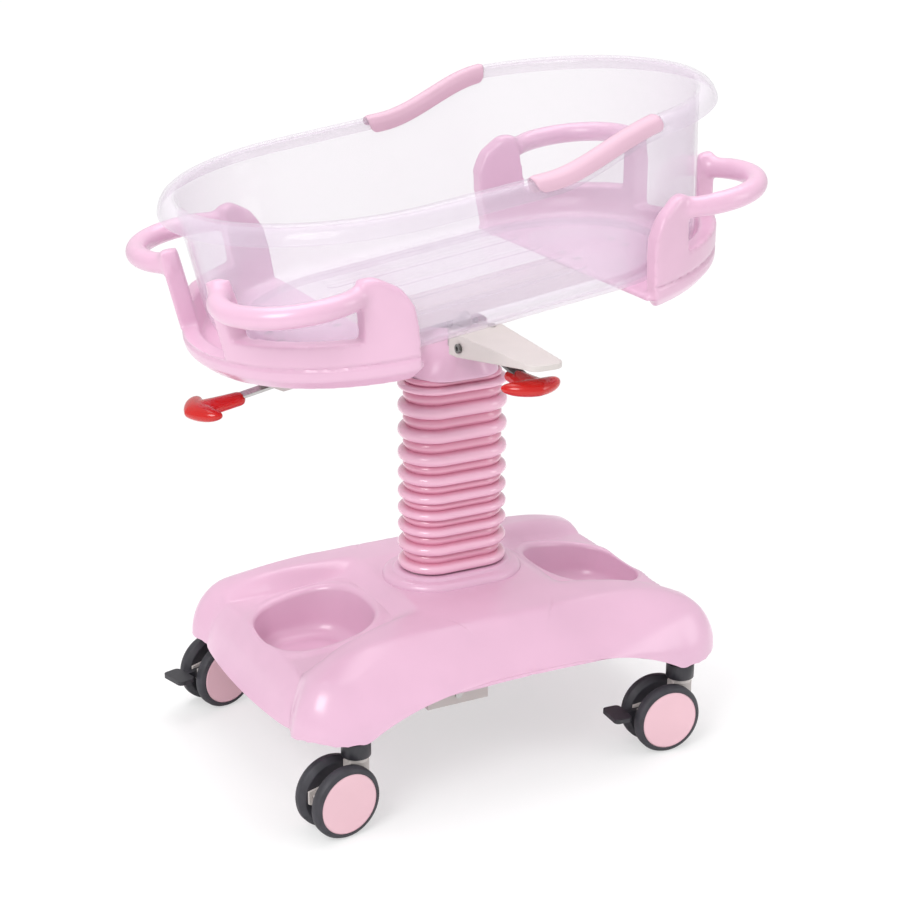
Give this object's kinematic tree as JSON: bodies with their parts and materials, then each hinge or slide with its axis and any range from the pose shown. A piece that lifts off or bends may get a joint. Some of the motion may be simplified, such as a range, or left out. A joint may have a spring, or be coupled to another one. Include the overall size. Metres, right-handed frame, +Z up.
{
  "type": "hospital bassinet",
  "caption": "Clear oval infant tub on a tilting cradle over a telescopic column, with a moulded base on twin-wheel casters.",
  "frame": {"origin": "on the floor, under the axis of the lift column", "axes": "+X towards the head end of the tub, +Z up, -Y towards the side with the height lever"},
  "size_m": [0.7844, 0.509, 0.9298],
  "materials": {
    "pink_shell": "moulded gloss with a soft sheen",
    "pink_rubber": "glossy moulded rubber",
    "pink_pad": "soft satin strip",
    "pink_cap": "satin",
    "clear_plastic": "polished clear moulding",
    "cream_paint": "satin powder coat",
    "cream_plastic": "satin",
    "red_plastic": "gloss",
    "tyre_rubber": "matt",
    "black_plastic": "satin",
    "plain_steel": "brushed",
    "dark_steel": "dark oxide",
    "cast_alloy": "as cast",
    "white_plastic": "satin"
  },
  "bodies": {
    "base": {"base_cover": "pink_shell", "base_frame": "cream_paint", "cover_brackets": "cream_paint", "cover_screws": "plain_steel", "column_outer_tube": "plain_steel", "column_bolts": "plain_steel", "column_guide_bush": "white_plastic", "lift_spring_cylinder": "dark_steel", "bellows": "pink_rubber", "caster_stems": "plain_steel", "caster_collars": "black_plastic"},
    "column_top": {"column_inner_tube": "plain_steel", "lift_spring_rod": "plain_steel", "column_head": "cast_alloy", "head_shroud": "pink_shell", "lever_guard": "cream_paint", "guard_screws": "plain_steel", "height_lever_bolt": "dark_steel", "tilt_stops": "black_plastic", "tilt_pivot_pin": "plain_steel", "tilt_friction_discs": "dark_steel"},
    "height_lever": {"height_lever_bar": "dark_steel", "height_lever_grip": "red_plastic"},
    "release_valve": {"release_valve_pin": "plain_steel"},
    "cradle": {"cradle_spine": "cream_paint", "head_support": "pink_shell", "foot_support": "pink_shell", "support_screws": "plain_steel", "tilt_bushes": "white_plastic", "tilt_lever_bracket": "cream_paint", "tilt_lever_bolt": "dark_steel"},
    "tilt_lever": {"tilt_lever_bar": "plain_steel", "tilt_lever_grip": "red_plastic"},
    "release_rod": {"tilt_release_rod": "plain_steel"},
    "tub": {"tub": "clear_plastic", "rim_pad_near": "pink_pad", "rim_pad_far": "pink_pad"},
    "foot_front_swivel": {"foot_front_caster_housing": "cream_plastic", "foot_front_caster_axle": "plain_steel"},
    "foot_front_wheels": {"foot_front_caster_tyres": "tyre_rubber", "foot_front_caster_caps": "pink_cap"},
    "foot_back_swivel": {"foot_back_caster_housing": "cream_plastic", "foot_back_caster_axle": "plain_steel", "foot_back_pedal_pin": "plain_steel"},
    "foot_back_wheels": {"foot_back_caster_tyres": "tyre_rubber", "foot_back_caster_caps": "pink_cap"},
    "foot_back_brake": {"foot_back_brake_pedal": "black_plastic"},
    "head_front_swivel": {"head_front_caster_housing": "cream_plastic", "head_front_caster_axle": "plain_steel", "head_front_pedal_pin": "plain_steel"},
    "head_front_wheels": {"head_front_caster_tyres": "tyre_rubber", "head_front_caster_caps": "pink_cap"},
    "head_front_brake": {"head_front_brake_pedal": "black_plastic"},
    "head_back_swivel": {"head_back_caster_housing": "cream_plastic", "head_back_caster_axle": "plain_steel"},
    "head_back_wheels": {"head_back_caster_tyres": "tyre_rubber", "head_back_caster_caps": "pink_cap"}
  },
  "joints": [
    {"name": "column_lift", "type": "slide", "parent": "base", "child": "column_top", "axis": [0, 0, 1], "range_m": [-0.08, 0.12], "deforming": ["bellows"]},
    {"name": "cradle_tilt", "type": "hinge", "parent": "column_top", "child": "cradle", "pos_m": [0, 0, 0.614], "axis": [0, -1, 0], "range_deg": [-19.5, 4.5]},
    {"name": "tub_lift_off", "type": "slide", "parent": "cradle", "child": "tub", "axis": [-0.1305, 0, 0.9914], "range_m": [0, 0.25]},
    {"name": "height_lever_squeeze", "type": "hinge", "parent": "column_top", "child": "height_lever", "pos_m": [0.003, -0.085, 0.588], "axis": [-1, 0, 0], "range_deg": [0, 4], "stiffness_Nm_per_rad": 2, "springref_deg": -8.59},
    {"name": "release_valve_press", "type": "slide", "parent": "column_top", "child": "release_valve", "axis": [0, 0, -1], "range_m": [0, 0.0062]},
    {"name": "tilt_lever_squeeze", "type": "hinge", "parent": "cradle", "child": "tilt_lever", "pos_m": [-0.25188, 0, 0.55058], "axis": [0, 1, 0], "range_deg": [0, 4], "stiffness_Nm_per_rad": 2, "springref_deg": -8.59},
    {"name": "release_rod_push", "type": "slide", "parent": "cradle", "child": "release_rod", "axis": [0.9914, 0, 0.1305], "range_m": [0, 0.0028]},
    {"name": "foot_front_caster_swivel", "type": "hinge", "parent": "base", "child": "foot_front_swivel", "pos_m": [-0.253, -0.213, 0.101], "axis": [0, 0, 1], "continuous": true},
    {"name": "foot_front_wheels_roll", "type": "hinge", "parent": "foot_front_swivel", "child": "foot_front_wheels", "pos_m": [-0.28266, -0.21749, 0.05], "axis": [-0.1495, 0.9888, 0], "continuous": true},
    {"name": "foot_back_caster_swivel", "type": "hinge", "parent": "base", "child": "foot_back_swivel", "pos_m": [-0.253, 0.213, 0.101], "axis": [0, 0, 1], "continuous": true},
    {"name": "foot_back_wheels_roll", "type": "hinge", "parent": "foot_back_swivel", "child": "foot_back_wheels", "pos_m": [-0.28198, 0.20524, 0.05], "axis": [-0.2588, 0.9659, 0], "continuous": true},
    {"name": "foot_back_brake_press", "type": "hinge", "parent": "foot_back_swivel", "child": "foot_back_brake", "pos_m": [-0.31289, 0.19695, 0.056], "axis": [0.2588, -0.9659, 0], "range_deg": [0, 10]},
    {"name": "head_front_caster_swivel", "type": "hinge", "parent": "base", "child": "head_front_swivel", "pos_m": [0.253, -0.213, 0.101], "axis": [0, 0, 1], "continuous": true},
    {"name": "head_front_wheels_roll", "type": "hinge", "parent": "head_front_swivel", "child": "head_front_wheels", "pos_m": [0.22307, -0.21091, 0.05], "axis": [0.0698, 0.9976, 0], "continuous": true},
    {"name": "head_front_brake_press", "type": "hinge", "parent": "head_front_swivel", "child": "head_front_brake", "pos_m": [0.19115, -0.20867, 0.056], "axis": [-0.0698, -0.9976, 0], "range_deg": [0, 10]},
    {"name": "head_back_caster_swivel", "type": "hinge", "parent": "base", "child": "head_back_swivel", "pos_m": [0.253, 0.213, 0.101], "axis": [0, 0, 1], "continuous": true},
    {"name": "head_back_wheels_roll", "type": "hinge", "parent": "head_back_swivel", "child": "head_back_wheels", "pos_m": [0.22346, 0.20779, 0.05], "axis": [-0.1736, 0.9848, 0], "continuous": true}
  ],
  "couplings": [
    {"joint": "release_valve_press", "follows": "height_lever_squeeze", "m_per_rad": 0.085},
    {"joint": "release_rod_push", "follows": "tilt_lever_squeeze", "m_per_rad": 0.038}
  ]
}
